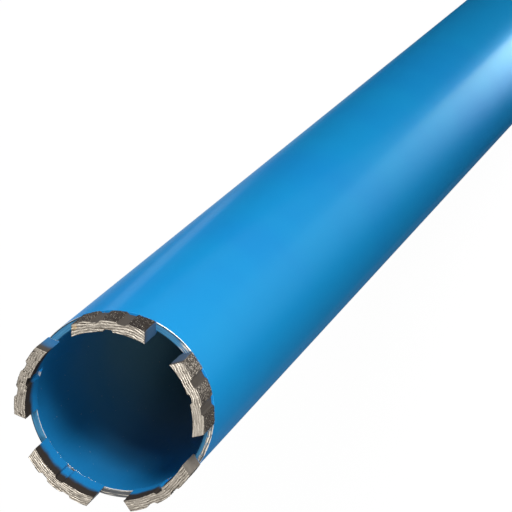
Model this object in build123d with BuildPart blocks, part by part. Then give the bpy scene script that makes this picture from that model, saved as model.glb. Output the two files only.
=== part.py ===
from build123d import *

import os
from math import asin, degrees, radians, tan

# Diamond core bit for wet drilling in concrete, with a long barrel.
# It stands on the rear face of its hub. The origin is the centre of that face,
# +Z runs along the barrel to the crown, and segment_1 is centred on +Y.
# All lengths are in millimetres and all angles in degrees.

# Barrel
tube_diameter = 61.0
tube_wall = 2.5
working_depth = 650.0  # from the hub's shoulder to the cutting face
rim_outer_chamfer = 0.4
rim_inner_chamfer = 0.3

# Diamond segments
segment_count = 5
segment_length = 23.7  # between the two parallel ends
segment_height = 11.2
segment_outer_relief = 0.5  # how far a segment stands outside the tube
segment_inner_relief = 0.8  # how far it stands inside the bore
segment_edge_radius = 0.2
first_segment_angle = 90.0

# Grooves that part the lugs of a segment
centre_lug_length = 5.0
outer_groove_floor = 2.2
outer_groove_depth = 0.8
outer_groove_flank = 45.0
inner_groove_floor = 2.4
inner_groove_depth = 0.8
inner_groove_flank = 60.0

# Brazed seam under each segment
seam_thickness = 0.2
seam_outer_leg = 0.7  # how far the braze creeps down the outer wall
seam_inner_leg = 0.9  # how far it creeps down the bore
seam_step = 0.1  # kept back from the segment's edges

# Threaded hub
hub_length = 44.0  # from its rear face to the barrel's end
hub_diameter = 52.0
hub_edge_chamfer = 1.2
flats_across = 41.0
flats_length = 20.0
flats_setback = 6.0  # full collar left behind the flats
shoulder_length = 6.0
shoulder_taper = 3.5  # cone between the hub's body and its shoulder
spigot_length = 10.0
spigot_clearance = 0.05  # radial, between the spigot and the bore
spigot_lead = 1.0
thread_core_diameter = 28.2  # tapping size of a 1 1/4 inch thread, 7 to the inch
thread_length = 26.0
thread_mouth_diameter = 32.5
relief_length = 4.0  # run-out behind the thread
relief_diameter = 32.2
waterway_diameter = 18.0
waterway_flare = 3.0  # cone at the barrel end of the waterway

# Rear weld
weld_prep = 1.5  # bevel on each side of the joint
weld_crown = 0.35

# Worked out from the sizes above
tube_radius = tube_diameter / 2
bore_radius = tube_radius - tube_wall
segment_outer_radius = tube_radius + segment_outer_relief
segment_inner_radius = bore_radius - segment_inner_relief
segment_foot_z = hub_length + working_depth - segment_height
segment_pitch_angle = 360.0 / segment_count
rim_z = segment_foot_z - seam_thickness
groove_floor_radius = segment_outer_radius - outer_groove_depth
outer_flank_slope = tan(radians(outer_groove_flank))
inner_flank_slope = tan(radians(inner_groove_flank))
outer_flank_run = outer_groove_depth / outer_flank_slope
outer_cut = 2 * outer_groove_depth  # the cutters reach as far again past the face
inner_cut = 2 * inner_groove_depth
groove_centre_x = centre_lug_length / 2 + outer_flank_run + outer_groove_floor / 2
groove_angle = degrees(asin(groove_centre_x / segment_outer_radius))
hub_radius = hub_diameter / 2
shoulder_z = hub_length - shoulder_length
spigot_radius = bore_radius - spigot_clearance
spigot_z = hub_length + spigot_length
thread_core_radius = thread_core_diameter / 2
thread_mouth_radius = thread_mouth_diameter / 2
thread_mouth_depth = thread_mouth_radius - thread_core_radius
relief_radius = relief_diameter / 2
relief_z = thread_length + relief_length
relief_taper = relief_radius - thread_core_radius
waterway_radius = waterway_diameter / 2


def segment_plane(index, height):
    """Plane at a height, turned so that its Y axis runs out through one segment."""
    turn = first_segment_angle - 90.0 - index * segment_pitch_angle
    return Plane.XY.offset(height).rotated((0, 0, turn))


def finish(piece, name):
    """Name a piece and write it to its own file."""
    piece.part.label = name
    export_step(piece.part, f"parts/{name}.step")


os.makedirs("parts", exist_ok=True)


# Barrel: drawn tube. The rim is broken on both edges, the rear end bevelled for its weld.
with BuildPart() as barrel_tube:
    with BuildSketch(Plane.XZ):
        with BuildLine():
            Polyline(
                (bore_radius, hub_length),
                (tube_radius - weld_prep, hub_length),
                (tube_radius, hub_length + weld_prep),
                (tube_radius, rim_z - rim_outer_chamfer),
                (tube_radius - rim_outer_chamfer, rim_z),
                (bore_radius + rim_inner_chamfer, rim_z),
                (bore_radius, rim_z - rim_inner_chamfer),
                close=True,
            )
        make_face()
    revolve(axis=Axis.Z)
finish(barrel_tube, "barrel_tube")


# Segments: a curved bar with parallel ends. Two grooves part the outer face into three
# lugs, and one groove runs up the middle of the inner face. Their flanks slope.
def make_segment(index):
    with BuildPart() as segment:
        with BuildSketch(segment_plane(index, segment_foot_z)):
            Circle(segment_outer_radius)
            Circle(segment_inner_radius, mode=Mode.SUBTRACT)
            with Locations((0, segment_outer_radius)):
                Rectangle(segment_length, 2 * tube_radius, mode=Mode.INTERSECT)
            with PolarLocations(
                groove_floor_radius, 2, 90 - groove_angle, 2 * groove_angle, endpoint=True
            ):
                Trapezoid(
                    outer_groove_floor + 2 * outer_cut / outer_flank_slope,
                    outer_cut,
                    outer_groove_flank,
                    rotation=90,
                    align=(Align.CENTER, Align.MAX),
                    mode=Mode.SUBTRACT,
                )
            with PolarLocations(segment_inner_radius + inner_groove_depth, 1, 90):
                Trapezoid(
                    inner_groove_floor + 2 * inner_cut / inner_flank_slope,
                    inner_cut,
                    inner_groove_flank,
                    rotation=-90,
                    align=(Align.CENTER, Align.MAX),
                    mode=Mode.SUBTRACT,
                )
        extrude(amount=segment_height)
        fillet(segment.edges().filter_by(Axis.Z), segment_edge_radius)
    return segment


for index in range(segment_count):
    finish(make_segment(index), f"segment_{index + 1}")


# Brazed seams: a thin film between the rim and each segment, which also fills the rim's
# broken edges and the corner below each overhang.
def make_seam(index):
    with BuildPart() as seam:
        with BuildSketch(Plane.XZ):
            with BuildLine():
                Polyline(
                    (tube_radius, rim_z - seam_outer_leg),
                    (tube_radius, rim_z - rim_outer_chamfer),
                    (tube_radius - rim_outer_chamfer, rim_z),
                    (bore_radius + rim_inner_chamfer, rim_z),
                    (bore_radius, rim_z - rim_inner_chamfer),
                    (bore_radius, rim_z - seam_inner_leg),
                    (segment_inner_radius + seam_step, segment_foot_z),
                    (segment_outer_radius - seam_step, segment_foot_z),
                    close=True,
                )
            make_face()
        revolve(axis=Axis.Z)
        with BuildSketch(segment_plane(index, rim_z - seam_inner_leg)):
            with Locations((0, segment_outer_radius)):
                Rectangle(segment_length - 2 * seam_step, 2 * tube_radius)
        extrude(amount=seam_inner_leg + seam_thickness, mode=Mode.INTERSECT)
    return seam


for index in range(segment_count):
    finish(make_seam(index), f"solder_seam_{index + 1}")


# Hub: one turned piece. Its spigot plugs the barrel, its shoulder meets the barrel's end,
# and its socket takes the drill spindle, with a waterway through to the barrel.
with BuildPart() as threaded_hub:
    with BuildSketch(Plane.XZ):
        with BuildLine():
            Polyline(
                (thread_mouth_radius, 0),
                (hub_radius - hub_edge_chamfer, 0),
                (hub_radius, hub_edge_chamfer),
                (hub_radius, shoulder_z - shoulder_taper),
                (hub_radius + shoulder_taper, shoulder_z),
                (tube_radius, shoulder_z),
                (tube_radius, hub_length - weld_prep),
                (tube_radius - weld_prep, hub_length),
                (spigot_radius, hub_length),
                (spigot_radius, spigot_z - spigot_lead),
                (spigot_radius - spigot_lead, spigot_z),
                (waterway_radius + waterway_flare, spigot_z),
                (waterway_radius, spigot_z - waterway_flare),
                (waterway_radius, relief_z),
                (relief_radius, relief_z),
                (relief_radius, thread_length + relief_taper),
                (thread_core_radius, thread_length),
                (thread_core_radius, thread_mouth_depth),
                close=True,
            )
        make_face()
    revolve(axis=Axis.Z)
    with BuildSketch(Plane.XY.offset(flats_setback)):
        Rectangle(2 * hub_diameter, 2 * hub_diameter)
        Rectangle(2 * hub_diameter, flats_across, mode=Mode.SUBTRACT)
    extrude(amount=flats_length, mode=Mode.SUBTRACT)
finish(threaded_hub, "threaded_hub")


# Rear weld: fills the groove between the hub's shoulder and the barrel, slightly crowned.
with BuildPart() as rear_weld:
    with BuildSketch(Plane.XZ):
        with BuildLine():
            Polyline(
                (tube_radius, hub_length - weld_prep),
                (tube_radius - weld_prep, hub_length),
                (tube_radius, hub_length + weld_prep),
            )
            ThreePointArc(
                (tube_radius, hub_length + weld_prep),
                (tube_radius + weld_crown, hub_length),
                (tube_radius, hub_length - weld_prep),
            )
        make_face()
    revolve(axis=Axis.Z)
finish(rear_weld, "rear_weld")
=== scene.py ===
"""Diamond core bit: sintered segments, brazed seams, lacquered barrel, weld and threaded hub.

It stands on the rear face of its hub. The origin is the centre of that face, +Z runs along
the barrel to the crown, and segment_1 is centred on +Y.
"""

from math import asin, cos, degrees, pi, radians, sin, tan

import bpy
from mathutils import Matrix, Vector


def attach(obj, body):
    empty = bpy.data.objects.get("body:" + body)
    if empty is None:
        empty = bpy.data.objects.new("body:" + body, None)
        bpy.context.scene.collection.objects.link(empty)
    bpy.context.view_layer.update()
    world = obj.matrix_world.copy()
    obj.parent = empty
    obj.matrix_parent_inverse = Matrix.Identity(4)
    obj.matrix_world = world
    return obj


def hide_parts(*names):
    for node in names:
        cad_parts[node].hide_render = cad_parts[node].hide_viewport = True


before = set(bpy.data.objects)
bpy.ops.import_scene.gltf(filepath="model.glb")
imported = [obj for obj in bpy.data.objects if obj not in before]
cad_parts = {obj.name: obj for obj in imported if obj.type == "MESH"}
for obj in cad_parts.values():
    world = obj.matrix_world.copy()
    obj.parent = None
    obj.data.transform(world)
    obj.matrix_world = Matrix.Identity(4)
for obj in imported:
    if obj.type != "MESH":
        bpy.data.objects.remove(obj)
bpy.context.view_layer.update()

MM = 0.001  # one millimetre in Blender's metres
MERGE_DISTANCE = 0.002  # points closer than this become one
SHARP_FROM = 30  # degrees between two faces

# Barrel, in millimetres
BARREL_RADIUS = 30.5
BORE_RADIUS = 28.0
BARREL_END_Z = 44.0
RIM_Z = 682.6
RIM_OUTER_BREAK = 0.4
RIM_INNER_BREAK = 0.3
BARREL_STEPS = 288
BARREL_BANDS = 11
OUTSIDE_SHORTFALL = 4.0  # how much shorter than the barrel its evenly banded outside is
BORE_TOP_Z = RIM_Z - 1.0

# Segments
SEGMENT_COUNT = 5
SEGMENT_LENGTH = 23.7
SEGMENT_HEIGHT = 11.2
SEGMENT_FOOT_Z = 682.8
SEGMENT_OUTER_RADIUS = 31.0
SEGMENT_INNER_RADIUS = 27.2
SEGMENT_TURN = 360.0 / SEGMENT_COUNT
CENTRE_LUG = 5.0
OUTER_GROOVE_FLOOR = 2.2
OUTER_GROOVE_DEPTH = 0.8
OUTER_GROOVE_RUN = 0.8
INNER_GROOVE_FLOOR = 2.4
INNER_GROOVE_DEPTH = 0.8
INNER_GROOVE_RUN = INNER_GROOVE_DEPTH / tan(radians(60.0))
GROOVE_CENTRE = CENTRE_LUG / 2 + OUTER_GROOVE_RUN + OUTER_GROOVE_FLOOR / 2
GROOVE_ANGLE = asin(GROOVE_CENTRE / SEGMENT_OUTER_RADIUS)
SEGMENT_ROWS = 34
SEGMENT_LAYERS = 90

# Wear and grain of the segments
EDGE_ROUND = 0.10
EDGE_ROUND_SPREAD = 0.22
THIN_RIDGE_PITCH = 0.37
PIT_DEPTH = 0.40
TEAR_DEPTH = 0.16
FACE_GRAIN = 0.04
SKIN_WAVE = 0.05
SKIN_GRAIN = 0.03
GROUND_BACK = 0.03  # how far the cutting face and the lugs lie below the plain bar
GRIT_SCALE = 1.55
GRIT_VALLEY = 0.20
GRIT_UNEVEN = 0.05
GRIT_FINE = 0.05
GRAIN_RADIUS = 0.13
GRAIN_SINK = 0.07
GRAIN_SIZE_LEAST = 0.7
GRAIN_SIZE_MOST = 1.1
GRAIN_PLACE_SEED = 7
GRAIN_SIZE_SEED = 3
GRAIN_MARGIN = 0.01  # how far inside the segment's outline the grains are cut off
GRAIN_REACH = SEGMENT_OUTER_RADIUS - GRAIN_MARGIN
GRAIN_TOP = SEGMENT_FOOT_Z + SEGMENT_HEIGHT - GRAIN_MARGIN
SPOT_FROM_END = 1.0  # the brass spot, from the segment's end and its outer face
SPOT_FROM_OUTSIDE = 1.3

# Gaps between the segments, where the rim shows: the angle of each one's middle, in degrees
GAP_1_2 = 54.0
GAP_2_3 = -18.0
GAP_3_4 = -90.0
GAP_4_5 = -162.0
GAP_5_1 = 126.0
GAP_HALF = 17.0

# Brazed seams
SEAM_SETBACK = 0.1
SEAM_OUTER_LEG = 0.7
SEAM_INNER_LEG = 0.9
SEAM_RUN_PAST = 0.2  # how much longer the fillets may creep
SEAM_CURVE = 1.5
SEAM_FILM = 0.25
SEAM_LUMPS = 0.06
SEAM_COLUMNS = 170
SEAM_ROWS = 40
SEAM_LAYERS = 4
WALL_MARGIN = 0.01

# Hub
HUB_STEPS = 192
HUB_RADIUS = 26.0
HUB_EDGE = 1.2
HUB_SHOULDER_Z = 38.0
HUB_TAPER = 3.5
FLAT_DISTANCE = 20.5  # from the axis
FLAT_LOW_Z = 6.0
FLAT_HIGH_Z = 26.0
SPIGOT_RADIUS = 27.95
SPIGOT_Z = 54.0
SPIGOT_LEAD = 1.0
THREAD_CORE = 14.1
THREAD_ROOT = 15.875
THREAD_PITCH = 25.4 / 7
THREAD_CREST_HALF = 0.5
THREAD_FLANK_RUN = 1.05
THREAD_MOUTH = 16.25
THREAD_LENGTH = 26.0
RELIEF_RADIUS = 16.1
RELIEF_Z = 30.0
RELIEF_START = THREAD_LENGTH + RELIEF_RADIUS - THREAD_CORE
WHOLE_TURNS = 8.0  # keeps the thread's phase above 0
WATERWAY_RADIUS = 9.0
WATERWAY_FLARE = 3.0

# Weld between the hub and the barrel
WELD_HALF_WIDTH = 1.5
WELD_CROWN = 0.35
WELD_ROWS = 30
WELD_CROWN_ROWS = 24
WELD_STEPS = 1212
WELD_TOE_LAP = 0.12
WELD_TOE_WAVER = 0.3
COIN_BOW = 0.8
COIN_WAVER = 0.6

# Colours, linear
LACQUER = (0.006, 0.310, 0.670, 1.0)
LACQUER_THICK = (0.006, 0.260, 0.640, 1.0)
LACQUER_EDGE = (0.020, 0.450, 0.900, 1.0)  # of its mirror gloss, at a low angle
OVERSPRAY = (0.007, 0.145, 0.350, 1.0)
BORE_LACQUER = (0.008, 0.170, 0.400, 1.0)
BORE_LACQUER_DEEP = (0.085, 0.280, 0.400, 1.0)
BORE_GREY_SIDE = (0.260, 0.300, 0.300, 1.0)
RIM_LACQUER = (0.050, 0.190, 0.320, 1.0)
RIM_SHADE = (0.020, 0.110, 0.220, 1.0)
RIM_BRIGHT = (0.600, 0.600, 0.580, 1.0)
GROUND_LIGHT = (0.760, 0.690, 0.590, 1.0)
GROUND_DARK = (0.060, 0.048, 0.036, 1.0)
SINTER_LIGHT = (0.340, 0.305, 0.260, 1.0)
SINTER_DARK = (0.016, 0.012, 0.010, 1.0)
BRASS = (0.620, 0.420, 0.170, 1.0)
DIAMOND = (0.560, 0.520, 0.400, 1.0)
BRAZE = (0.750, 0.720, 0.660, 1.0)
BRAZE_DULL = (0.260, 0.230, 0.190, 1.0)
STEEL = (0.560, 0.550, 0.530, 1.0)
STEEL_DULL = (0.230, 0.220, 0.210, 1.0)
STEEL_DARK = (0.085, 0.090, 0.095, 1.0)
STRIP_LIGHT = (1.0, 1.0, 0.57, 1.0)
FLOOR = (0.500, 0.500, 0.500, 1.0)
WHITE = (1.0, 1.0, 1.0, 1.0)


class Value:
    """One output in a node tree. Arithmetic on it adds Math nodes."""

    def __init__(self, graph, socket):
        self.graph = graph
        self.socket = socket

    def __add__(self, other):
        return self.graph.math("ADD", self, other)

    def __sub__(self, other):
        return self.graph.math("SUBTRACT", self, other)

    def __rsub__(self, other):
        return self.graph.math("SUBTRACT", other, self)

    def __mul__(self, other):
        return self.graph.math("MULTIPLY", self, other)

    def __truediv__(self, other):
        return self.graph.math("DIVIDE", self, other)

    __radd__ = __add__
    __rmul__ = __mul__


class Graph:
    """Adds nodes to one tree, for a material or for a mesh."""

    def __init__(self, tree):
        self.tree = tree

    def feed(self, socket, value):
        if isinstance(value, Value):
            self.tree.links.new(value.socket, socket)
        else:
            socket.default_value = value

    def node(self, kind, inputs=None, **settings):
        made = self.tree.nodes.new(kind)
        for name, value in settings.items():
            setattr(made, name, value)
        for name, value in (inputs or {}).items():
            self.feed(made.inputs[name], value)
        return made

    def out(self, kind, inputs=None, output=0, **settings):
        return Value(self, self.node(kind, inputs, **settings).outputs[output])

    def math(self, operation, *values):
        inputs = dict(enumerate(values))
        return self.out("ShaderNodeMath", inputs, operation=operation)

    def least(self, *values):
        return self.math("MINIMUM", *values)

    def most(self, *values):
        return self.math("MAXIMUM", *values)

    def size(self, value):
        return self.math("ABSOLUTE", value)

    def clamp(self, value):
        return self.out("ShaderNodeClamp", {"Value": value})

    def ramp(self, value, low, high):
        """0 below low and 1 above high, with a smooth rise between."""
        inputs = {"Value": value, "From Min": low, "From Max": high}
        return self.out("ShaderNodeMapRange", inputs, interpolation_type="SMOOTHSTEP")

    def between(self, share, first, second):
        return first + (second - first) * share

    def vector(self, x, y, z):
        return self.out("ShaderNodeCombineXYZ", {"X": x, "Y": y, "Z": z})

    def parts(self, vector):
        split = self.node("ShaderNodeSeparateXYZ", {"Vector": vector})
        return [Value(self, output) for output in split.outputs]

    def noise(self, vector, scale, detail=2.0, roughness=0.5):
        inputs = {"Vector": vector, "Scale": scale, "Detail": detail, "Roughness": roughness}
        return self.out("ShaderNodeTexNoise", inputs)

    def attribute(self, name):
        return self.out("ShaderNodeAttribute", output=2, attribute_name=name)

    def tint(self, share, first, second):
        mixer = self.tree.nodes.new("ShaderNodeMix")
        mixer.data_type = "RGBA"
        self.feed(mixer.inputs[0], share)
        self.feed(mixer.inputs[6], first)
        self.feed(mixer.inputs[7], second)
        return Value(self, mixer.outputs[2])

    def bump(self, height, distance, strength=1.0):
        inputs = {"Height": height, "Distance": distance, "Strength": strength}
        return self.out("ShaderNodeBump", inputs)


# ---------------------------------------------------------------- materials


def new_material(name):
    material = bpy.data.materials.new(name)
    material.use_nodes = True
    graph = Graph(material.node_tree)
    shader = material.node_tree.nodes["Principled BSDF"]
    place = graph.out("ShaderNodeTexCoord", output=3)
    scaled = graph.out(
        "ShaderNodeVectorMath", {0: place, "Scale": 1 / MM}, operation="SCALE"
    )
    return material, graph, shader, scaled


def finish_shader(graph, shader, **sockets):
    for name, value in sockets.items():
        graph.feed(shader.inputs[name.replace("_", " ")], value)


def about_axis(graph, place):
    """Distance from the axis, angle about it in degrees, and height."""
    x, y, z = graph.parts(place)
    radius = graph.math("SQRT", x * x + y * y)
    angle = graph.math("ARCTAN2", y, x) * degrees(1.0)
    return radius, angle, z


def near_angle(graph, angle, centre, half_width, soft=3.0):
    """1 where the angle is within half_width of centre, in degrees."""
    offset = graph.math("WRAP", angle - centre, 180.0, -180.0)
    return 1.0 - graph.ramp(graph.size(offset), half_width - soft, half_width + soft)


def lacquer_material():
    material, graph, shader, place = new_material("blue_lacquer")
    cloud = graph.noise(place, scale=0.012, detail=3.0)
    coat_depth = graph.ramp(cloud, 0.35, 0.65)
    peel = graph.noise(place, scale=0.55, detail=2.0)
    dust = graph.ramp(graph.noise(place, scale=2.4, detail=2.0), 0.72, 0.80)
    finish_shader(
        graph,
        shader,
        Base_Color=graph.tint(coat_depth * 0.6, LACQUER, LACQUER_THICK),
        Metallic=0.5,
        Roughness=0.40 + cloud * 0.06 + dust * 0.15,
        Normal=graph.bump(peel, distance=0.01 * MM, strength=0.4),
        Specular_IOR_Level=0.10,
        Specular_Tint=LACQUER_EDGE,
        Coat_Weight=0.13,
        Coat_Roughness=0.06,
    )
    return material


def rim_material():
    """The barrel's rim: turned lines under dull lacquer, rubbed bare in each gap in its own way."""
    material, graph, shader, place = new_material("worn_rim")
    radius, angle, _ = about_axis(graph, place)
    across = (radius - BORE_RADIUS) / (BARREL_RADIUS - BORE_RADIUS)
    wander = graph.noise(place, scale=0.35, detail=2.0) - 0.5
    drawn = graph.vector(across * 9.0 + wander * 3.0, angle * 0.05, 0.0)
    lines = graph.noise(drawn, scale=1.0, detail=2.0)
    patches = graph.ramp(graph.noise(place, scale=0.8, detail=3.0), 0.36, 0.46)
    outer_edge = graph.ramp(across + wander * 0.06, 0.93, 0.97)
    # A near-black band by the outer chamfer: painted shade.
    painted_shade_line = graph.ramp(across + wander * 0.06, 0.79, 0.85) * (1.0 - outer_edge)
    inner_edge = graph.ramp(across + wander * 0.06, 0.07, 0.02)
    bare = near_angle(graph, angle, GAP_1_2, GAP_HALF) * outer_edge * 0.8
    near_segment = near_angle(graph, angle, 42.0, half_width=5.0) * graph.ramp(lines, 0.48, 0.56)
    bare = graph.most(bare, near_segment)
    bare = graph.most(bare, near_angle(graph, angle, GAP_5_1, GAP_HALF) * outer_edge * patches)
    half_bare = near_angle(graph, angle, GAP_2_3, GAP_HALF)
    bare = graph.most(bare, half_bare * graph.ramp(across + wander * 0.2, 0.42, 0.52))
    bare = graph.most(bare, near_angle(graph, angle, GAP_4_5, GAP_HALF) * inner_edge)
    rubbed = near_angle(graph, angle, GAP_3_4, GAP_HALF)
    bare = graph.most(bare * (0.35 + patches * 0.65), rubbed)
    metal = graph.tint(graph.ramp(lines - rubbed * 0.06, 0.48, 0.60), STEEL_DARK, GROUND_LIGHT)
    metal = graph.tint(graph.most(inner_edge, outer_edge), metal, RIM_BRIGHT)
    skin = graph.tint(graph.ramp(lines, 0.3, 0.7), RIM_LACQUER, RIM_SHADE)
    skin = graph.tint(painted_shade_line * 0.85, skin, SINTER_DARK)
    finish_shader(
        graph,
        shader,
        Base_Color=graph.tint(bare, skin, metal),
        Metallic=0.15 + bare * 0.55,
        Roughness=0.55 - bare * 0.12 + painted_shade_line * 0.2,
        Normal=graph.bump(lines, distance=0.03 * MM, strength=0.8),
        Specular_IOR_Level=0.15,
    )
    return material


def bore_material():
    """Thin lacquer inside the barrel, over drawn steel that shows through further down."""
    material, graph, shader, place = new_material("bore_lacquer")
    _, angle, height = about_axis(graph, place)
    depth = RIM_Z - height
    cloud = graph.noise(place, scale=0.03, detail=3.0)
    specks = graph.ramp(graph.noise(place, scale=1.3, detail=1.0), 0.785, 0.81)
    fade = graph.ramp(depth + (cloud - 0.5) * 40.0, 8.0, 110.0)
    drawn = graph.noise(graph.vector(angle * 0.4, height * 0.01, 0.0), scale=1.0, detail=2.0)
    steel = graph.tint(drawn, STEEL_DARK, STEEL_DULL)
    thin = graph.tint(0.25, BORE_LACQUER_DEEP, steel)
    # Greyer and lighter on the side about -45 degrees.
    grey_side = near_angle(graph, angle, -45.0, half_width=55.0, soft=40.0)
    thin = graph.tint(grey_side * 0.8, thin, BORE_GREY_SIDE)
    skin = graph.tint(specks, graph.tint(fade, BORE_LACQUER, thin), STEEL)
    finish_shader(
        graph,
        shader,
        Base_Color=skin,
        Metallic=0.35,
        Roughness=0.5 + drawn * 0.1,
        Normal=graph.bump(cloud + drawn * 0.2, distance=0.1 * MM, strength=0.5),
        Specular_IOR_Level=0.2,
    )
    return material


def sinter_material():
    """Sintered metal. Its mesh says how light, how ground and how oversprayed each place is; the
    lightness holds painted highlights and painted shade.
    """
    material, graph, shader, place = new_material("sintered_metal")
    ground = graph.attribute("ground")
    light = graph.attribute("light")
    spray = graph.attribute("spray")
    grit = graph.noise(place, scale=3.2, detail=3.0, roughness=0.65)
    face = graph.tint(light, GROUND_DARK, GROUND_LIGHT)
    side = graph.tint(light, SINTER_DARK, SINTER_LIGHT)
    metal = graph.tint(graph.attribute("brass"), graph.tint(ground, side, face), BRASS)
    finish_shader(
        graph,
        shader,
        Base_Color=graph.tint(spray, metal, OVERSPRAY),
        Metallic=ground * 0.6,
        Roughness=0.60 - ground * 0.18,
        Normal=graph.bump(grit, distance=0.04 * MM, strength=0.6),
        Specular_IOR_Level=0.12,
    )
    return material


def diamond_material():
    material, graph, shader, place = new_material("diamond_grain")
    cloud = graph.noise(place, scale=2.0, detail=1.0)
    finish_shader(
        graph,
        shader,
        Base_Color=graph.tint(graph.ramp(cloud, 0.4, 0.6), SINTER_LIGHT, DIAMOND),
        Roughness=0.22 + cloud * 0.2,
        Specular_IOR_Level=0.8,
    )
    return material


def braze_material():
    material, graph, shader, place = new_material("silver_braze")
    spray = graph.attribute("spray")
    flow = graph.noise(place, scale=0.8, detail=3.0)
    colour = graph.tint(graph.ramp(flow, 0.38, 0.6), BRAZE_DULL, BRAZE)
    finish_shader(
        graph,
        shader,
        Base_Color=graph.tint(spray, colour, LACQUER_THICK),
        Metallic=0.9 - spray * 0.5,
        Roughness=0.26 + flow * 0.2,
        Normal=graph.bump(flow, distance=0.05 * MM, strength=0.6),
    )
    return material


def steel_material():
    """Turned steel, with fine rings about the axis and a thin film of oil stain."""
    material, graph, shader, place = new_material("turned_steel")
    radius, angle, height = about_axis(graph, place)
    rings = graph.noise(graph.vector(radius * 6.0, height * 6.0, angle * 0.004), scale=1.0, detail=2.0)
    stain = graph.ramp(graph.noise(place, scale=0.35, detail=5.0, roughness=0.65), 0.42, 0.75)
    finish_shader(
        graph,
        shader,
        Base_Color=graph.tint(stain * 0.35 + rings * 0.5, STEEL, STEEL_DULL),
        Metallic=0.95,
        Roughness=0.28 + rings * 0.16 + stain * 0.12,
        Normal=graph.bump(rings, distance=0.02 * MM, strength=0.8),
    )
    return material


lacquer = lacquer_material()
worn_rim = rim_material()
bore_lacquer = bore_material()
sintered_metal = sinter_material()
diamond_grain = diamond_material()
silver_braze = braze_material()
turned_steel = steel_material()


# ---------------------------------------------------------------- mesh trees


class MeshTree(Graph):
    """A Geometry Nodes tree with named inputs. Its mesh passes from node to node."""

    def __init__(self, name, inputs, onto_mesh=False):
        super().__init__(bpy.data.node_groups.new(name, "GeometryNodeTree"))
        self.identifiers = {}
        if onto_mesh:
            self.tree.interface.new_socket("Geometry", in_out="INPUT", socket_type="NodeSocketGeometry")
        self.tree.interface.new_socket("Geometry", in_out="OUTPUT", socket_type="NodeSocketGeometry")
        for label, start in inputs.items():
            kind = "NodeSocketInt" if isinstance(start, int) else "NodeSocketFloat"
            socket = self.tree.interface.new_socket(label, in_out="INPUT", socket_type=kind)
            socket.default_value = start
            self.identifiers[label] = socket.identifier
        self.entry = self.tree.nodes.new("NodeGroupInput")

    def value(self, label):
        return Value(self, self.entry.outputs[label])

    def place(self):
        return self.out("GeometryNodeInputPosition")

    def move(self, mesh, place):
        return self.out("GeometryNodeSetPosition", {"Geometry": mesh, "Position": place})

    def note(self, mesh, name, value):
        inputs = {"Geometry": mesh, "Name": name, "Value": value}
        return self.out("GeometryNodeStoreNamedAttribute", inputs)

    def paint(self, mesh, material):
        return self.out("GeometryNodeSetMaterial", {"Geometry": mesh, "Material": material})

    def join(self, *meshes):
        joined = self.node("GeometryNodeJoinGeometry")
        for mesh in reversed(meshes):
            self.tree.links.new(mesh.socket, joined.inputs[0])
        return Value(self, joined.outputs[0])

    def end(self, mesh, smooth=True):
        if smooth:
            mesh = self.out("GeometryNodeSetShadeSmooth", {"Geometry": mesh})
        exit_node = self.tree.nodes.new("NodeGroupOutput")
        self.tree.links.new(mesh.socket, exit_node.inputs[0])

    def make(self, name, settings, piece=None):
        """A plain mesh object with this tree's result, new or in place of the piece's own mesh."""
        if piece is None:
            piece = bpy.data.objects.new(name, bpy.data.meshes.new(name))
            bpy.context.scene.collection.objects.link(piece)
        modifier = piece.modifiers.new("shape", "NODES")
        modifier.node_group = self.tree
        for label, setting in settings.items():
            modifier[self.identifiers[label]] = setting
        bpy.context.view_layer.update()
        evaluated = piece.evaluated_get(bpy.context.evaluated_depsgraph_get())
        mesh = bpy.data.meshes.new_from_object(evaluated)
        piece.modifiers.remove(modifier)
        piece.data = mesh
        mesh.name = name
        return piece


def trapezoid(tree, distance, floor, run, depth):
    """Depth of a groove with sloping flanks, at a distance from its middle."""
    return tree.clamp((floor / 2 + run - distance) / run) * depth


def turn_about_axis(tree, place, turn):
    inputs = {"Vector": place, "Angle": turn}
    return tree.out("ShaderNodeVectorRotate", inputs, rotation_type="Z_AXIS")


def round_edges(tree, box, half, edge):
    """The middle that a block's rounded edges are measured from, and where each point faces."""
    core = [
        tree.least(tree.most(box[axis], edge - half[axis]), half[axis] - edge)
        for axis in range(3)
    ]
    lean = [box[axis] - core[axis] for axis in range(3)]
    reach = tree.math("SQRT", lean[0] * lean[0] + lean[1] * lean[1] + lean[2] * lean[2])
    return core, [lean[axis] / reach for axis in range(3)]


def bend_bar(tree, x, share):
    """Where a straight bar's point lies once it is bent about the barrel's axis, and the groove's
    depth there. The share is 0 on the inner face and 1 on the outer one."""
    outer = tree.math("SQRT", SEGMENT_OUTER_RADIUS**2 - x * x)
    inner = tree.math("SQRT", SEGMENT_INNER_RADIUS**2 - x * x)
    from_groove = tree.size(tree.size(x) * cos(GROOVE_ANGLE) - outer * sin(GROOVE_ANGLE))
    groove = trapezoid(tree, from_groove, OUTER_GROOVE_FLOOR, OUTER_GROOVE_RUN, OUTER_GROOVE_DEPTH)
    channel = trapezoid(tree, tree.size(x), INNER_GROOVE_FLOOR, INNER_GROOVE_RUN, INNER_GROOVE_DEPTH)
    return tree.between(share, inner + channel, outer - groove), groove / OUTER_GROOVE_DEPTH


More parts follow.
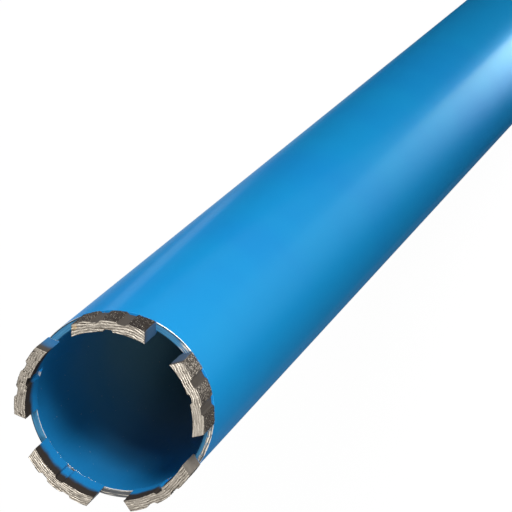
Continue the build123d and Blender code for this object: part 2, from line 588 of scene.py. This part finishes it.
def ground_ridges(tree, x, radius, shift):
    """Ridges that run along the cutting face and waver: height, strength, painted highlights on the
    crests with painted shade in the troughs, and tears.
    """
    slow = tree.noise(tree.vector(x + shift, radius * 0.6, shift), scale=0.13, detail=2.0) - 0.5
    quick_field = tree.vector(x + shift, radius * 1.2, shift)
    quick = tree.noise(quick_field, scale=0.5, detail=3.0, roughness=0.6) - 0.5
    wander = slow * 3.4 + quick * 0.9
    coarse = tree.math("SINE", (radius / tree.value("Ridge pitch") + wander) * (2 * pi))
    thin = tree.math("SINE", (radius / THIN_RIDGE_PITCH + wander * 1.3 + slow * 5.0) * (2 * pi))
    patch_field = tree.vector(x * 0.4 + shift, radius * 1.3, shift)
    patch = tree.noise(patch_field, scale=0.8, detail=3.0, roughness=0.6)
    worn_away = tree.ramp(x, tree.value("Ridge end") - 2.0, tree.value("Ridge end") + 4.0)
    strength = (0.10 + tree.ramp(patch, 0.34, 0.62) * 0.95) * (1.0 - worn_away * 0.75)
    height = tree.ramp(coarse, -0.9, 0.7) * 0.7 + tree.ramp(thin, -1.0, 1.0) * 0.3
    crest = tree.ramp(coarse + thin * 0.6, 0.55, 1.30)
    trough = tree.ramp(coarse + thin * 0.7, -0.55, -1.35)
    # Painted highlight on the ridge crests and painted shade in the troughs, scaled per segment.
    lines = (crest * 0.75 - trough * 0.52) * tree.value("Ridge light and shade")
    torn_field = tree.vector(x * 0.32 + shift, radius * 2.4 + slow * 3.0, shift)
    torn = tree.noise(torn_field, scale=1.0, detail=2.0, roughness=0.6)
    tears = tree.ramp(torn, 0.585, 0.64) * tree.clamp(strength)
    return height, strength, lines, tears


def grit_cells(tree, straight):
    """Grains packed on the lugs: how low each point lies, painted glints on the grain tops, and how
    light each point is, lighter on the grain tops and darker between them as painted highlight and
    painted shade.
    """
    cells = tree.node("ShaderNodeTexVoronoi", {"Vector": straight, "Scale": GRIT_SCALE})
    distance = Value(tree, cells.outputs[0])
    chance = Value(tree, cells.outputs[1])
    valley = tree.ramp(distance, 0.20, 0.60)
    fine = tree.noise(straight, scale=3.4, detail=2.0, roughness=0.6)
    low = valley * GRIT_VALLEY + (1.0 - chance) * GRIT_UNEVEN + (1.0 - fine) * GRIT_FINE
    # Painted glints on the grain tops, and painted light on the tops with painted shade in the hollows
    # between grains.
    glint = tree.ramp(distance, 0.34, 0.12) * tree.ramp(chance, 0.52, 0.66)
    return low, glint, (1.0 - valley) * fine


def segment_tree():
    """One segment: a curved bar with parallel ends, grooves, ground ridges, pits and grit."""
    tree = MeshTree(
        "crown_segment",
        {
            "Turn": 0.0,
            "Seed": 1.0,
            "Ridge depth": 0.2,
            "Ridge light and shade": 1.0,
            "Ridge pitch": 0.85,
            "Ridge end": 40.0,
            "Pits": 0.3,
            "Lug tone and painted light": 0.10,
            "Brass spot": 0.0,
            "Spray height": 5.0,
            "End spray": 0.5,
            "End light": 0.25,
            "End height": 6.0,
            "Face light": 0.35,
            "Columns": 200,
            "Grains": 0.5,
        },
    )
    width = SEGMENT_OUTER_RADIUS - SEGMENT_INNER_RADIUS
    half = (SEGMENT_LENGTH / 2, width / 2, SEGMENT_HEIGHT / 2)
    cube = tree.out(
        "GeometryNodeMeshCube",
        {
            "Size": (1.0, 1.0, 1.0),
            "Vertices X": tree.value("Columns"),
            "Vertices Y": SEGMENT_ROWS,
            "Vertices Z": SEGMENT_LAYERS,
        },
    )
    unit = tree.parts(tree.place())
    box = [unit[axis] * (2 * half[axis]) for axis in range(3)]
    shift = tree.value("Seed") * 37.0
    straight = tree.vector(box[0] + shift, box[1] - shift, box[2] + shift * 0.5)
    edge = EDGE_ROUND + tree.ramp(tree.noise(straight, scale=0.8), 0.45, 0.75) * EDGE_ROUND_SPREAD
    core, facing = round_edges(tree, box, half, edge)
    ground_y, grooved = bend_bar(tree, box[0], box[1] / width + 0.5)
    radius = tree.math("SQRT", box[0] * box[0] + ground_y * ground_y)

    # Which face each point belongs to.
    face = tree.ramp(facing[2], 0.35, 0.80)
    outside = tree.ramp(facing[1], 0.40, 0.80) * (1.0 - face)
    inside = tree.ramp(facing[1], -0.40, -0.80) * (1.0 - face)
    end = tree.clamp(1.0 - face - outside - inside)
    lug = outside * (1.0 - tree.ramp(grooved, 0.10, 0.55))
    # The rounded edges of the cutting face, which get painted glints.
    rim_edge = tree.ramp(facing[2], 0.20, 0.55) * tree.ramp(facing[2], 0.97, 0.75)

    # How far each point lies below the plain bar.
    ridge, strength, lines, tears = ground_ridges(tree, box[0], radius, shift)
    pit_field = tree.noise(straight, scale=1.35, detail=2.0, roughness=0.6)
    pit_edge = 0.80 - tree.value("Pits") * 0.22
    pit = tree.ramp(pit_field, pit_edge, pit_edge + 0.06)
    grit_low, glint, grit_light_and_shade = grit_cells(tree, straight)
    fine = tree.noise(straight, scale=0.5, detail=2.0)
    speck = tree.noise(straight, scale=3.0, detail=2.0, roughness=0.6)
    depth = (1.0 - ridge) * strength * tree.value("Ridge depth")
    depth = depth + pit * PIT_DEPTH + tears * TEAR_DEPTH
    depth = face * (depth + (1.0 - speck) * FACE_GRAIN)
    depth = depth + lug * grit_low
    depth = depth + (1.0 - face) * (1.0 - lug) * (fine * SKIN_WAVE + speck * SKIN_GRAIN)
    depth = depth + (face + lug) * GROUND_BACK
    final = [core[axis] + facing[axis] * (edge - depth) for axis in range(3)]
    final_y, _ = bend_bar(tree, final[0], final[1] / width + 0.5)
    height = final[2] + (SEGMENT_FOOT_Z + half[2])
    bent = tree.vector(final[0] * MM, final_y * MM, height * MM)

    # How light each point is: its tone, with painted highlights and painted shade.
    streak_field = tree.vector(box[0] * 0.25 + shift, radius * 3.0, shift)
    streak = tree.noise(streak_field, scale=1.0, detail=3.0, roughness=0.6) - 0.5
    face_light = tree.value("Face light") + lines * strength + streak * 0.6 + (speck - 0.5) * 0.35
    # Darker in the pits and tears: painted shade in these hollows.
    face_light = tree.clamp(face_light) * (1.0 - pit * 0.9) * (1.0 - tears * 0.75)
    # The lugs' own tone, raised as painted light: most on segment 2, and on the lugs towards the
    # segment's -X end.
    lug_tone_and_light = tree.value("Lug tone and painted light") * (1.0 - tree.ramp(box[0], -4.0, 6.0) * 0.75)
    # Painted glints and the grit's painted light and shade, over the lugs' own tone.
    lug_light = glint * 0.55 + lug_tone_and_light * (0.1 + grit_light_and_shade * 1.9)
    # The inner face is darker than the outer one: painted shade.
    plain_light = end * tree.value("End light") + outside * 0.11 + inside * 0.03
    side_light = plain_light * (0.75 + fine * 0.5)
    light = tree.between(lug, side_light, lug_light)
    # Painted glints along the cutting face's rounded edges, lighter in some patches and darker in
    # others.
    light = tree.between(face, light, face_light) + rim_edge * streak * 0.5

    # Where lacquer has drifted over it from the barrel.
    foot_height = box[2] + half[2]
    drift = (tree.noise(straight, scale=0.22, detail=2.0, roughness=0.5) - 0.5) * 4.0
    inner_spray = tree.ramp(tree.value("Spray height") + drift - foot_height, -1.8, 1.8) * inside
    outer_spray = tree.ramp(0.1 + drift * 0.4 - foot_height, -0.4, 0.4) * outside
    end_spray = tree.ramp(tree.value("End height") + drift - foot_height, -2.5, 2.5)
    end_spray = end_spray * end * tree.value("End spray")
    spray = inner_spray + outer_spray + end_spray
    spot_end = half[0] - SPOT_FROM_END
    spot_radius = SEGMENT_OUTER_RADIUS - SPOT_FROM_OUTSIDE
    spot = tree.vector(box[0] + spot_end, 0.0, radius - spot_radius)
    spot_distance = tree.out("ShaderNodeVectorMath", {0: spot}, output=1, operation="LENGTH")
    brass = tree.ramp(spot_distance + speck, 1.6, 1.0) * tree.value("Brass spot") * face

    mesh = tree.note(cube, "ground", face)
    mesh = tree.note(mesh, "light", tree.clamp(light))
    mesh = tree.note(mesh, "spray", tree.clamp(spray))
    mesh = tree.note(mesh, "brass", brass)
    mesh = tree.note(mesh, "grain_share", lug + face * 0.2)
    mesh = tree.move(mesh, turn_about_axis(tree, bent, tree.value("Turn")))
    body = tree.paint(mesh, sintered_metal)
    tree.end(tree.join(body, diamond_grains(tree, mesh)))
    return tree


def diamond_grains(tree, mesh):
    """Diamond grains half sunk in the lugs and the cutting face."""
    share = tree.node("GeometryNodeInputNamedAttribute", {"Name": "grain_share"}, data_type="FLOAT")
    density = Value(tree, share.outputs[0]) * (tree.value("Grains") / (MM * MM))
    spread = tree.node(
        "GeometryNodeDistributePointsOnFaces",
        {"Mesh": mesh, "Density": density, "Seed": GRAIN_PLACE_SEED},
    )
    grain = tree.out("GeometryNodeMeshIcoSphere", {"Radius": GRAIN_RADIUS * MM, "Subdivisions": 1})
    grain_size = tree.node(
        "FunctionNodeRandomValue",
        {2: GRAIN_SIZE_LEAST, 3: GRAIN_SIZE_MOST, "Seed": GRAIN_SIZE_SEED},
        data_type="FLOAT",
    )
    placed = tree.out(
        "GeometryNodeInstanceOnPoints",
        {
            "Points": Value(tree, spread.outputs[0]),
            "Instance": grain,
            "Rotation": Value(tree, spread.outputs[2]),
            "Scale": Value(tree, grain_size.outputs[1]),
        },
    )
    sink = (0.0, 0.0, -GRAIN_SINK * MM)
    sunk = tree.out("GeometryNodeTranslateInstances", {"Instances": placed, "Translation": sink})
    grains = tree.out("GeometryNodeRealizeInstances", {0: sunk})
    return tree.paint(grind_flush(tree, grains), diamond_grain)


def grind_flush(tree, grains):
    """Takes off the tips that would stand past the segment's cutting face or its lugs."""
    x, y, z = tree.parts(tree.place())
    reach = tree.math("SQRT", x * x + y * y)
    share = tree.least(tree.math("DIVIDE", GRAIN_REACH * MM, reach), 1.0)
    return tree.move(grains, tree.vector(x * share, y * share, tree.least(z, GRAIN_TOP * MM)))


def seam_tree():
    """The braze under one segment: a film on the rim and an uneven fillet at each wall."""
    tree = MeshTree("braze_seam", {"Turn": 0.0, "Seed": 1.0, "Spray": 0.5})
    cube = tree.out(
        "GeometryNodeMeshCube",
        {
            "Size": (1.0, 1.0, 1.0),
            "Vertices X": SEAM_COLUMNS,
            "Vertices Y": SEAM_ROWS,
            "Vertices Z": SEAM_LAYERS,
        },
    )
    unit = tree.parts(tree.place())
    inner = SEGMENT_INNER_RADIUS + SEAM_SETBACK
    outer = SEGMENT_OUTER_RADIUS - SEAM_SETBACK
    x = unit[0] * (SEGMENT_LENGTH - 2 * SEAM_SETBACK)
    radius = (unit[1] + 0.5) * (outer - inner) + inner
    shift = tree.value("Seed") * 23.0
    along = tree.vector(x + shift, radius, shift)
    swell = 0.55 + tree.noise(along, scale=0.6, detail=3.0) * 0.9
    lumps = tree.noise(along, scale=2.2, detail=2.0)
    outer_rise = tree.clamp((outer - radius) / (outer - BARREL_RADIUS))
    inner_rise = tree.clamp((radius - inner) / (BORE_RADIUS - inner))
    outer_wall = tree.math("GREATER_THAN", radius, BARREL_RADIUS - WALL_MARGIN)
    inner_wall = tree.math("LESS_THAN", radius, BORE_RADIUS + WALL_MARGIN)
    outer_drop = tree.math("POWER", outer_rise, SEAM_CURVE) * (SEAM_OUTER_LEG + SEAM_RUN_PAST)
    inner_drop = tree.math("POWER", inner_rise, SEAM_CURVE) * (SEAM_INNER_LEG + SEAM_RUN_PAST)
    drop = (outer_wall * outer_drop + inner_wall * inner_drop) * swell
    film = (1.0 - outer_wall) * (1.0 - inner_wall) * SEAM_FILM
    thickness = drop + film + lumps * SEAM_LUMPS
    height = SEGMENT_FOOT_Z - thickness * (0.5 - unit[2])
    ring = tree.math("SQRT", radius * radius - x * x)
    bent = tree.vector(x * MM, ring * MM, height * MM)
    turned = turn_about_axis(tree, bent, tree.value("Turn"))
    cover = tree.noise(along, scale=0.35, detail=3.0, roughness=0.6) + outer_wall * 0.6
    edge = 0.85 - tree.value("Spray") * 0.7
    mesh = tree.note(cube, "spray", tree.ramp(cover, edge, edge + 0.08))
    mesh = tree.paint(tree.move(mesh, turned), silver_braze)
    tree.end(tree.out("GeometryNodeRealizeInstances", {0: mesh}))
    return tree


def weld_tree():
    """The weld bead: a closed ring whose ripples lie over one another like coins."""
    tree = MeshTree("rippled_bead", {"Ripples": 101, "Ripple depth": 0.4})
    drum = tree.out(
        "GeometryNodeMeshCylinder",
        {"Vertices": WELD_STEPS, "Side Segments": WELD_ROWS, "Radius": 1.0, "Depth": 1.0},
        fill_type="NONE",
    )
    x, y, z = tree.parts(tree.place())
    turn = tree.math("ARCTAN2", y, x) / (2 * pi)
    section = z + 0.5
    crown_share = WELD_CROWN_ROWS / WELD_ROWS
    along = tree.least(section / crown_share, 1.0) * 2.0 - 1.0
    back = tree.clamp((section - crown_share) / (1.0 - crown_share))
    in_root = tree.math("GREATER_THAN", back, 0.001)
    root_lean = 1.0 - tree.size(back * 2.0 - 1.0)

    around = tree.vector(x * BARREL_RADIUS, y * BARREL_RADIUS, along)
    waver = tree.noise(around, scale=0.25, detail=2.0) - 0.5
    phase = turn * tree.value("Ripples") + along * along * COIN_BOW + waver * COIN_WAVER
    coin = tree.math("FRACT", phase)
    ripple = 1.0 - tree.value("Ripple depth") * tree.math("POWER", coin, 2.0)
    crown_rise = (1.0 - along * along) * WELD_CROWN * ripple
    toe = WELD_HALF_WIDTH + WELD_TOE_LAP + waver * WELD_TOE_WAVER
    radius = BARREL_RADIUS + crown_rise * (1.0 - in_root) - root_lean * in_root * WELD_HALF_WIDTH
    height = tree.between(in_root, along, 1.0 - back * 2.0) * toe + BARREL_END_Z
    ring = tree.vector(x * radius * MM, y * radius * MM, height * MM)
    bead = tree.move(drum, ring)
    mesh = tree.out("GeometryNodeMergeByDistance", {0: bead, "Distance": MERGE_DISTANCE * MM})
    mesh = tree.out("GeometryNodeRealizeInstances", {0: mesh})
    tree.end(tree.paint(mesh, lacquer))
    return tree


def socket_tree():
    """Adds a threaded socket to the turned hub, from its mouth to the relief behind the thread."""
    tree = MeshTree("threaded_socket", {"Pitch": THREAD_PITCH, "Rows": 224}, onto_mesh=True)
    drum = tree.out(
        "GeometryNodeMeshCylinder",
        {"Vertices": HUB_STEPS, "Side Segments": tree.value("Rows"), "Radius": 1.0, "Depth": 1.0},
        fill_type="NONE",
    )
    x, y, z = tree.parts(tree.place())
    height = (z + 0.5) * RELIEF_START
    turn = tree.math("ARCTAN2", y, x) / (2 * pi)
    pitch = tree.value("Pitch")
    from_crest = tree.size(tree.math("FRACT", height / pitch - turn + WHOLE_TURNS) - 0.5) * pitch
    groove = tree.clamp((from_crest - THREAD_CREST_HALF) / THREAD_FLANK_RUN)
    radius = THREAD_CORE + groove * (THREAD_ROOT - THREAD_CORE)
    radius = tree.most(radius, THREAD_MOUTH - height)
    radius = tree.most(radius, THREAD_CORE - THREAD_LENGTH + height)
    ring = tree.vector(x * radius * MM, y * radius * MM, height * MM)
    inward = tree.out("GeometryNodeFlipFaces", {0: tree.move(drum, ring)})
    whole = tree.join(tree.value("Geometry"), tree.paint(inward, turned_steel))
    whole = tree.out("GeometryNodeMergeByDistance", {0: whole, "Distance": MERGE_DISTANCE * MM})
    whole = tree.out("GeometryNodeRealizeInstances", {0: whole})
    tree.end(whole, smooth=False)
    return tree


crown = segment_tree()
segment_looks = {
    1: {
        "Ridge depth": 0.26,
        "Ridge light and shade": 1.75,
        "Face light": 0.31,
        "Brass spot": 0.35,
        "Spray height": 5.0,
        "End spray": 0.36,
        "End height": 10.0,
        "End light": 0.08,
    },
    2: {
        "Ridge depth": 0.24,
        "Ridge light and shade": 1.6,
        "Ridge pitch": 0.75,
        "Pits": 0.1,
        "Ridge end": 1.0,
        # Painted light on this segment's lugs.
        "Lug tone and painted light": 0.75,
        "End spray": 0.24,
        "End height": 9.0,
        "End light": 0.11,
    },
    3: {
        "Ridge depth": 0.16,
        "Ridge light and shade": 0.75,
        "Ridge pitch": 0.70,
        "Face light": 0.30,
        "Pits": 0.2,
        "End spray": 0.0,
        "End light": 0.40,
    },
    4: {
        "Ridge depth": 0.28,
        "Ridge light and shade": 1.5,
        "Ridge pitch": 0.66,
        "Face light": 0.29,
        "Pits": 0.2,
        "Spray height": 6.0,
    },
    5: {
        "Ridge depth": 0.10,
        "Ridge light and shade": 0.4,
        "Ridge pitch": 0.70,
        "Face light": 0.29,
        "Pits": 0.88,
        "Spray height": 5.5,
        "End spray": 0.62,
        "End height": 6.5,
        "End light": 0.09,
    },
}
braze_spray = {1: 0.7, 2: 0.7, 3: 0.55, 4: 0.34, 5: 0.6}
braze = seam_tree()
for number in range(1, SEGMENT_COUNT + 1):
    turn = {"Turn": -radians((number - 1) * SEGMENT_TURN), "Seed": float(number)}
    segment = crown.make(f"crown_segment_{number}", turn | segment_looks[number])
    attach(segment, "root")
    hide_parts(f"segment_{number}")
    seam = braze.make(f"braze_seam_{number}", turn | {"Spray": braze_spray[number]})
    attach(seam, "root")
    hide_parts(f"solder_seam_{number}")


# ---------------------------------------------------------------- turned pieces


def turned_mesh(name, rows, steps, materials, closed=True):
    """Turns rows about the axis. A row is (radius, height, material index); radius may be a function."""
    vertices = []
    for radius, height, _ in rows:
        for step in range(steps):
            angle = 2 * pi * step / steps
            here = radius(angle) if callable(radius) else radius
            vertices.append((here * cos(angle) * MM, here * sin(angle) * MM, height * MM))
    faces = []
    looks = []
    last = len(rows) if closed else len(rows) - 1
    for row in range(last):
        above = (row + 1) % len(rows)
        for step in range(steps):
            following = (step + 1) % steps
            faces.append(
                (
                    row * steps + step,
                    row * steps + following,
                    above * steps + following,
                    above * steps + step,
                )
            )
            looks.append(rows[row][2])
    mesh = bpy.data.meshes.new(name)
    mesh.from_pydata(vertices, [], faces)
    for material in materials:
        mesh.materials.append(material)
    mesh.polygons.foreach_set("material_index", looks)
    mesh.polygons.foreach_set("use_smooth", [True] * len(faces))
    mesh.set_sharp_from_angle(angle=radians(SHARP_FROM))
    piece = bpy.data.objects.new(name, mesh)
    bpy.context.scene.collection.objects.link(piece)
    return piece


OUTSIDE, RIM, BORE = 0, 1, 2
barrel_rows = [
    (BORE_RADIUS, BARREL_END_Z, RIM),
    (BARREL_RADIUS - WELD_HALF_WIDTH, BARREL_END_Z, RIM),
    (BARREL_RADIUS, BARREL_END_Z + WELD_HALF_WIDTH, OUTSIDE),
]
banded_length = RIM_Z - BARREL_END_Z - OUTSIDE_SHORTFALL
for band in range(1, BARREL_BANDS + 1):
    height = BARREL_END_Z + WELD_HALF_WIDTH + banded_length * band / BARREL_BANDS
    barrel_rows.append((BARREL_RADIUS, height, OUTSIDE))
barrel_rows += [
    (BARREL_RADIUS, RIM_Z - RIM_OUTER_BREAK, RIM),
    (BARREL_RADIUS - RIM_OUTER_BREAK, RIM_Z, RIM),
    (BORE_RADIUS + RIM_INNER_BREAK, RIM_Z, RIM),
    (BORE_RADIUS, RIM_Z - RIM_INNER_BREAK, BORE),
]
for band in range(1, BARREL_BANDS):
    height = BORE_TOP_Z - (BORE_TOP_Z - BARREL_END_Z) * band / BARREL_BANDS
    barrel_rows.append((BORE_RADIUS, height, BORE))
barrel = turned_mesh("barrel", barrel_rows, BARREL_STEPS, [lacquer, worn_rim, bore_lacquer])
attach(barrel, "root")
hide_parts("barrel_tube")


def flatted(radius):
    """The hub's radius where its two wrench flats cut it, facing +Y and -Y."""
    return lambda angle: min(radius, FLAT_DISTANCE / max(abs(sin(angle)), 0.01))


PAINTED, BARE = 0, 1
hub_rows = [
    (THREAD_MOUTH, 0.0, BARE),
    (HUB_RADIUS - HUB_EDGE, 0.0, PAINTED),
    (HUB_RADIUS, HUB_EDGE, PAINTED),
    (HUB_RADIUS, FLAT_LOW_Z, PAINTED),
    (flatted(HUB_RADIUS), FLAT_LOW_Z, PAINTED),
    (flatted(HUB_RADIUS), FLAT_HIGH_Z, PAINTED),
    (HUB_RADIUS, FLAT_HIGH_Z, PAINTED),
    (HUB_RADIUS, HUB_SHOULDER_Z - HUB_TAPER, PAINTED),
    (HUB_RADIUS + HUB_TAPER, HUB_SHOULDER_Z, PAINTED),
    (BARREL_RADIUS, HUB_SHOULDER_Z, PAINTED),
    (BARREL_RADIUS, BARREL_END_Z - WELD_HALF_WIDTH, BARE),
    (BARREL_RADIUS - WELD_HALF_WIDTH, BARREL_END_Z, BARE),
    (SPIGOT_RADIUS, BARREL_END_Z, BARE),
    (SPIGOT_RADIUS, SPIGOT_Z - SPIGOT_LEAD, BARE),
    (SPIGOT_RADIUS - SPIGOT_LEAD, SPIGOT_Z, BARE),
    (WATERWAY_RADIUS + WATERWAY_FLARE, SPIGOT_Z, BARE),
    (WATERWAY_RADIUS, SPIGOT_Z - WATERWAY_FLARE, BARE),
    (WATERWAY_RADIUS, RELIEF_Z, BARE),
    (RELIEF_RADIUS, RELIEF_Z, BARE),
    (RELIEF_RADIUS, RELIEF_START, BARE),
]
hub = turned_mesh("threaded_hub_body", hub_rows, HUB_STEPS, [lacquer, turned_steel], closed=False)
socket_tree().make("threaded_hub_body", {}, hub)
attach(hub, "root")
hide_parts("threaded_hub")

weld = weld_tree().make("weld_bead", {})
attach(weld, "root")
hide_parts("rear_weld")


# ---------------------------------------------------------------- camera, floor and light


def aim(thing, place, right, up):
    """Puts a camera or a lamp at a place in millimetres, looking along its own -Z."""
    right = Vector(right).normalized()
    back = right.cross(Vector(up)).normalized()
    up = back.cross(right)
    turn = Matrix((right, up, back)).transposed().to_4x4()
    thing.matrix_world = Matrix.Translation(Vector(place) * MM) @ turn


CAMERA_PLACE = (262.07, 272.92, 1433.36)  # millimetres
CAMERA_RIGHT = (0.95910, 0.01157, -0.28282)
CAMERA_UP = (-0.08751, 0.96234, -0.25739)

camera_data = bpy.data.cameras.new("camera")
camera_data.lens = 189.84
camera_data.sensor_width = 36.0
camera_data.clip_start = 0.05
camera_data.clip_end = 60.0
camera = bpy.data.objects.new("camera", camera_data)
bpy.context.scene.collection.objects.link(camera)
aim(camera, CAMERA_PLACE, CAMERA_RIGHT, CAMERA_UP)
bpy.context.scene.camera = camera


def seen_directly(graph):
    """1 for rays from the camera and for mirrored and refracted ones."""
    rays = graph.node("ShaderNodeLightPath")
    kinds = ("Is Camera Ray", "Is Glossy Ray", "Is Transmission Ray")
    straight, mirrored, refracted = [Value(graph, rays.outputs[kind]) for kind in kinds]
    return graph.most(graph.most(straight, mirrored), refracted)


def stage_plane(name, corners, height, material):
    """A flat polygon that isn't part of the object, from corners in millimetres."""
    mesh = bpy.data.meshes.new(name)
    vertices = [(x * MM, y * MM, height * MM) for x, y in corners]
    mesh.from_pydata(vertices, [], [tuple(range(len(corners)))])
    mesh.materials.append(material)
    plane = bpy.data.objects.new(name, mesh)
    bpy.context.scene.collection.objects.link(plane)
    return plane


def light_material(name):
    """A material with no shader yet, its graph, and the object's place in millimetres."""
    material, graph, shader, place = new_material(name)
    graph.tree.nodes.remove(shader)
    return material, graph, place


def finish_surface(graph, shader):
    graph.feed(graph.tree.nodes["Material Output"].inputs["Surface"], shader)


def make_floor(half_width, white_share, white_level):
    """A grey floor for the light, mostly a plain white one for the camera and for gloss."""
    material, graph, _ = light_material("studio_floor")
    plain = graph.out("ShaderNodeBsdfDiffuse", {"Color": FLOOR})
    white = graph.out("ShaderNodeEmission", {"Strength": white_level})
    share = seen_directly(graph) * white_share
    finish_surface(graph, graph.out("ShaderNodeMixShader", {0: share, 1: plain, 2: white}))
    corners = [(-half_width, -half_width), (half_width, -half_width)]
    corners += [(half_width, half_width), (-half_width, half_width)]
    stage_plane("studio_floor", corners, 0.0, material)


# The floor reflector. Ramps about the axis are in degrees and ramps outwards in millimetres,
# each from where it starts to where it ends.
REFLECTOR_SEAM = -75.0
OPEN_RISE = (-22.0, 12.0)
OPEN_FALL = (-6.0, 14.0)  # past the open sector's end
OPEN_END = 58.0
OPEN_END_SHIFT = 50.0
OPEN_END_OUTWARDS = (110.0, 320.0)
OPEN_LEVEL = 0.24
OPEN_LEVEL_RISE = 0.16
OPEN_LEVEL_OUTWARDS = (220.0, 300.0)
FAR_SIDE_RISE = (165.0, 212.0)
FAR_SIDE_FALL = (224.0, 232.0)
FAR_SIDE_DROP = 0.85
FAR_SIDE_LEVEL = 0.9
STRIP_RISE = (-40.0, 42.0)
STRIP_RISE_CURVE = 1.3
STRIP_FALL = (43.0, 54.0)
STRIP_FADE_FROM = 120.0
STRIP_FADE_LENGTH = 36.0
STRIP_LEVEL = 2.0
SIDE_STRIP_ANGLE = 150.0
SIDE_STRIP_LEAN = 0.2  # degrees for each millimetre inwards
SIDE_STRIP_LEAN_FROM = 330.0
SIDE_STRIP_EDGE = (3.0, 13.0)
SIDE_STRIP_OUTWARDS = (200.0, 250.0)
SIDE_STRIP_LEVEL = 0.7
DARK_LEVEL = 0.02


def make_reflector(inner, outer, steps=72):
    """A ring on the floor that only gloss shows. It is dark but for an open sector, a far side,
    a warm strip near the hub that fades outwards and towards -Y, and a narrow strip at one side."""
    material, graph, place = light_material("floor_reflector")
    radius, angle, _ = about_axis(graph, place)
    angle = graph.math("WRAP", angle, REFLECTOR_SEAM + 360.0, REFLECTOR_SEAM)
    open_end = OPEN_END + graph.ramp(radius, *OPEN_END_OUTWARDS) * OPEN_END_SHIFT
    open_start = graph.ramp(angle, *OPEN_RISE)
    open_sector = open_start * (1.0 - graph.ramp(angle - open_end, *OPEN_FALL))
    far_side = graph.ramp(angle, *FAR_SIDE_RISE)
    far_side = far_side * (1.0 - graph.ramp(angle, *FAR_SIDE_FALL) * FAR_SIDE_DROP)
    rise = graph.math("POWER", graph.ramp(angle, *STRIP_RISE), STRIP_RISE_CURVE)
    strip = rise * (1.0 - graph.ramp(angle, *STRIP_FALL))
    fade = graph.math("EXPONENT", (STRIP_FADE_FROM - radius) / STRIP_FADE_LENGTH)
    side_offset = angle - SIDE_STRIP_ANGLE
    side_offset = side_offset - (SIDE_STRIP_LEAN_FROM - radius) * SIDE_STRIP_LEAN
    side_strip = 1.0 - graph.ramp(graph.size(side_offset), *SIDE_STRIP_EDGE)
    side_strip = side_strip * graph.ramp(radius, *SIDE_STRIP_OUTWARDS)
    open_level = OPEN_LEVEL + graph.ramp(radius, *OPEN_LEVEL_OUTWARDS) * OPEN_LEVEL_RISE
    strength = open_sector * open_level + far_side * FAR_SIDE_LEVEL
    strength = strength + strip * fade * STRIP_LEVEL + side_strip * SIDE_STRIP_LEVEL + DARK_LEVEL
    colour = graph.tint(strip, WHITE, STRIP_LIGHT)
    finish_surface(graph, graph.out("ShaderNodeEmission", {"Color": colour, "Strength": strength}))
    for part in range(2):
        turns = [pi * (part + step / steps) for step in range(steps + 1)]
        corners = [(outer * cos(turn), outer * sin(turn)) for turn in turns]
        corners += [(inner * cos(turn), inner * sin(turn)) for turn in reversed(turns)]
        ring = stage_plane(f"floor_reflector_{part + 1}", corners, 1.0, material)
        for kind in ("camera", "diffuse", "transmission", "volume_scatter", "shadow"):
            setattr(ring, "visible_" + kind, False)


def make_world(ambient):
    """White where it is seen, and the ambient level as light."""
    world = bpy.data.worlds.new("studio")
    world.use_nodes = True
    graph = Graph(world.node_tree)
    strength = ambient + seen_directly(graph) * (1.0 - ambient)
    background = graph.tree.nodes["Background"]
    graph.feed(background.inputs["Color"], WHITE)
    graph.feed(background.inputs["Strength"], strength)
    bpy.context.scene.world = world


def softbox(name, azimuth, elevation, distance, target, size, level):
    """A square lamp that lights a surface facing it at the given level."""
    data = bpy.data.lights.new(name, "AREA")
    data.shape = "RECTANGLE"
    data.size, data.size_y = size[0] * MM, size[1] * MM
    data.energy = level * pi * pi * (distance * MM) ** 2
    lamp = bpy.data.objects.new(name, data)
    bpy.context.scene.collection.objects.link(lamp)
    turn, rise = radians(azimuth), radians(elevation)
    away = Vector((cos(turn) * cos(rise), sin(turn) * cos(rise), sin(rise)))
    place = Vector(target) + away * distance
    right = Vector((-sin(turn), cos(turn), 0.0))
    aim(lamp, place, right, away.cross(right))
    lamp.visible_camera = False


make_floor(half_width=6000.0, white_share=0.90, white_level=1.07)
make_reflector(inner=36.0, outer=460.0)
make_world(ambient=0.14)
softbox(
    "key_softbox",
    azimuth=63.0,
    elevation=30.0,
    distance=1700.0,
    target=(0.0, 0.0, 500.0),
    size=(600.0, 600.0),
    level=1.38,
)
softbox(
    "bore_softbox",
    azimuth=128.0,
    elevation=75.0,
    distance=1400.0,
    target=(0.0, 0.0, 690.0),
    size=(260.0, 260.0),
    level=0.14,
)
softbox(
    "high_softbox",
    azimuth=0.0,
    elevation=72.0,
    distance=1400.0,
    target=(0.0, 0.0, 690.0),
    size=(260.0, 260.0),
    level=0.55,
)

bpy.context.scene.view_settings.view_transform = "Standard"
